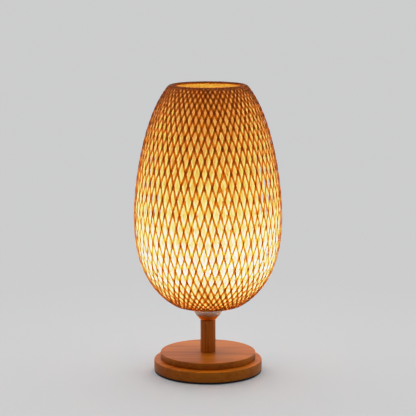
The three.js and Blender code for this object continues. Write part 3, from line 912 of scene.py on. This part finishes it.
thread, wobble = screw_thread(13.25, bottom=100.2, top=111.6, pitch=EDISON_PITCH, depth=0.75)
cap = turned(
    "bulb_cap_rolled",
    [(11.95, 98.8), (12.5, 98.8), *thread, (12.9, 112.0), (13.15, 112.7), (13.0, 113), (12.35, 113),
     (12.35, 100.8), (11.95, 100.8)],
    96, wobble,
)
stand_for(cap, BULB, "zinc_steel", ZINC, "bulb_cap")
insulator = turned(
    "cap_insulator_moulded",
    filleted([(0, 95.8), (5.6, 95.8), (11.6, 99), (11.6, 100.4), (0, 100.4)], 0.6), 96,
)
stand_for(insulator, BULB, "black_plastic", BLACK, "bulb_cap_insulator")
tip = turned(
    "tip_contact_soldered",
    [(0, 93.5), *arc(0, 97.8, 4.3, -85, -48, 8), (4.5, 94.6), (4.8, 95.5), (0, 95.5)], 48,
)
stand_for(tip, BULB, "contact_brass", BRASS, "bulb_tip_contact")

flare = [tuple(p) for p in bend((8, 107), (3, 110), (3, 117), 8)]
knob = [tuple(p) for p in bend((3, 133), (4.6, 136), (2.4, 137), 6)]
stem = turned("bulb_stem_drawn", [(0, 102), (7.6, 102), (8, 102.5), *flare, *knob, (0, 137)], 64)
stand_for(stem, BULB, "frosted_glass", GLASS, "bulb_stem")

FILAMENTS = 4
FILAMENT_CIRCLE = 5.5
FILAMENT_BOTTOM, FILAMENT_TOP = 138, 160
FILAMENT_RADIUS = 0.9
ROUND_END = 0.8  # length of a filament's rounded end
BEAD_PITCH = 1.4
BEAD_DEPTH = 0.1
LEAD_RADIUS = 0.22


def beaded(r, z, angle):
    """The coat's row of beads, which are its lamps."""
    if r != FILAMENT_RADIUS:
        return 0
    return -BEAD_DEPTH / 2 * (1 + math.cos(2 * math.pi * z / BEAD_PITCH))


body_heights = np.linspace(FILAMENT_BOTTOM + ROUND_END, FILAMENT_TOP - ROUND_END, 60)
filament_outline = [
    (0, FILAMENT_BOTTOM), (0.6, FILAMENT_BOTTOM + 0.2), *((FILAMENT_RADIUS, z) for z in body_heights),
    (0.6, FILAMENT_TOP - 0.2), (0, FILAMENT_TOP),
]
LEAD_GRIP = 0.3  # how far a lead reaches into a filament's end
lower_lead = bend((2.0, 135.5), (5.2, 134.8), (FILAMENT_CIRCLE, FILAMENT_BOTTOM + LEAD_GRIP), 8)
upper_lead = bend((FILAMENT_CIRCLE, FILAMENT_TOP - LEAD_GRIP), (4.6, 164), (0.1, 163.4), 8)
leads = bmesh.new()
for number in range(1, FILAMENTS + 1):
    angle = 2 * math.pi * (number - 0.5) / FILAMENTS
    east, north = math.cos(angle), math.sin(angle)
    filament = turned(
        f"filament_{number}_coated", filament_outline, 24, beaded,
        place=(FILAMENT_CIRCLE * east, FILAMENT_CIRCLE * north),
    )
    stand_for(filament, BULB, "filament_coat", PHOSPHOR, f"led_filament_{number}")
    for route in (lower_lead, upper_lead):
        points = [(r * east, r * north, z) for r, z in route]
        leads.from_mesh(wire_mesh("lead", points, LEAD_RADIUS))
lead_mesh = bpy.data.meshes.new("filament_leads")
leads.to_mesh(lead_mesh)
leads.free()
smooth(lead_mesh)
stand_for(new_object("filament_leads", lead_mesh), BULB, "zinc_steel", ZINC)

# ---- Light ----

lamp_light = bpy.data.lights.new("lamp_light", "POINT")
lamp_light.energy = 4.7
lamp_light.shadow_soft_size = 0.009
lamp_light.use_nodes = True
beam, beam_links = lamp_light.node_tree.nodes, lamp_light.node_tree.links
heading = add_node(beam, "TexCoord")
upward = add_node(beam, "SeparateXYZ")
beam_links.new(heading.outputs["Normal"], upward.inputs[0])
steepness = add_node(beam, "MapRange", {"From Min": -1.0, "From Max": 1.0})
beam_links.new(upward.outputs["Z"], steepness.inputs["Value"])
# From straight down (0) over level (0.5) to straight up (1): dim below, where the cap and the holder
# are in the way, and amber above, as the top of the shade is in the photo.
spread = ramp(beam, [
    (0.0, (0.10, 0.05, 0.012)), (0.15, (0.16, 0.08, 0.018)), (0.25, (0.185, 0.105, 0.034)),
    (0.35, (0.205, 0.158, 0.095)), (0.50, (0.56, 0.55, 0.54)), (0.62, (0.71, 0.71, 0.75)),
    (0.85, (0.95, 0.72, 0.38)), (1.0, (1.0, 0.62, 0.13)),
])
beam_links.new(steepness.outputs[0], spread.inputs[0])
beam_links.new(spread.outputs[0], beam["Emission"].inputs["Color"])
lamp = new_object("lamp_light", lamp_light)
lamp.location = (0, 0, GLOBE_CENTRE * MM)
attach(lamp, BULB)

# The studio's light: brighter overhead than at the horizon, and brighter behind the lamp than in front.
HORIZON = 0.26
OVERHEAD_GAIN = 1.12
BEHIND_GAIN = 0.95
world = bpy.data.worlds.new("studio")
bpy.context.scene.world = world
world.use_nodes = True
sky, sky_links = world.node_tree.nodes, world.node_tree.links
direction = add_node(sky, "TexCoord")
split = add_node(sky, "SeparateXYZ")
sky_links.new(direction.outputs["Generated"], split.inputs[0])
up_only = add_node(sky, "Math", {1: 0.0}, operation="MAXIMUM")
sky_links.new(split.outputs["Z"], up_only.inputs[0])
gradient = add_node(sky, "Math", {1: OVERHEAD_GAIN, 2: HORIZON}, operation="MULTIPLY_ADD")
sky_links.new(up_only.outputs[0], gradient.inputs[0])
behind = add_node(sky, "Math", {1: BEHIND_GAIN, 2: 1.0}, operation="MULTIPLY_ADD")
sky_links.new(split.outputs["Y"], behind.inputs[0])
total_light = add_node(sky, "Math", operation="MULTIPLY")
sky_links.new(gradient.outputs[0], total_light.inputs[0])
sky_links.new(behind.outputs[0], total_light.inputs[1])
set_sockets(sky["Background"], {"Color": (1, 1, 1, 1)})
sky_links.new(total_light.outputs[0], sky["Background"].inputs["Strength"])

# ---- Floor ----

FLOOR_SIZE = 60
FLOOR_HEIGHT = -0.0002
bpy.ops.mesh.primitive_plane_add(size=FLOOR_SIZE, location=(0, 0, FLOOR_HEIGHT))
floor = bpy.context.object
floor.name = "floor"
floor_material, floor_nodes, floor_links, floor_shader = material("pale_floor")
# The floor is a little cooler round the lamp, which keeps it grey in the lamp's own warm light.
floor_place = add_node(floor_nodes, "TexCoord")
distance = add_node(floor_nodes, "VectorMath", operation="LENGTH")
floor_links.new(floor_place.outputs["Object"], distance.inputs[0])
floor_tone = ramp(floor_nodes, [
    (0.1, (0.630, 0.675, 0.715)), (0.25, (0.620, 0.650, 0.675)), (0.6, (0.605, 0.610, 0.617)),
])
floor_links.new(distance.outputs["Value"], floor_tone.inputs[0])
floor_links.new(floor_tone.outputs[0], floor_shader.inputs["Base Color"])
set_sockets(floor_shader, {"Roughness": 1.0, "Specular IOR Level": 0.0})
floor.data.materials.append(floor_material)

# ---- Camera and film ----

CAMERA_TILT = 9.608  # degrees below level
camera_data = bpy.data.cameras.new("camera")
camera_data.lens = 134.1
camera_data.sensor_width = 36
camera = new_object("camera", camera_data)
camera.location = (0, -2.0993, 0.5849)
camera.rotation_euler = (math.radians(90 - CAMERA_TILT), 0, 0)
bpy.context.scene.camera = camera

BRIGHTEST = 4.0  # scene brightness that comes out as the film's white
FILM_WHITE = 0.97
FILM_CURVE = ((0.2, 0.2), (0.4, 0.4), (0.6, 0.6), (1.0, 0.77), (1.6, 0.865), (2.4, 0.92))
view = bpy.context.scene.view_settings
view.view_transform = "Standard"
view.use_curve_mapping = True
shoulder = view.curve_mapping
shoulder.white_level = (BRIGHTEST, BRIGHTEST, BRIGHTEST)
film = shoulder.curves[3]
for scene_level, shown_level in FILM_CURVE:
    film.points.new(scene_level / BRIGHTEST, shown_level)
film.points[-1].location = (1.0, FILM_WHITE)
shoulder.update()
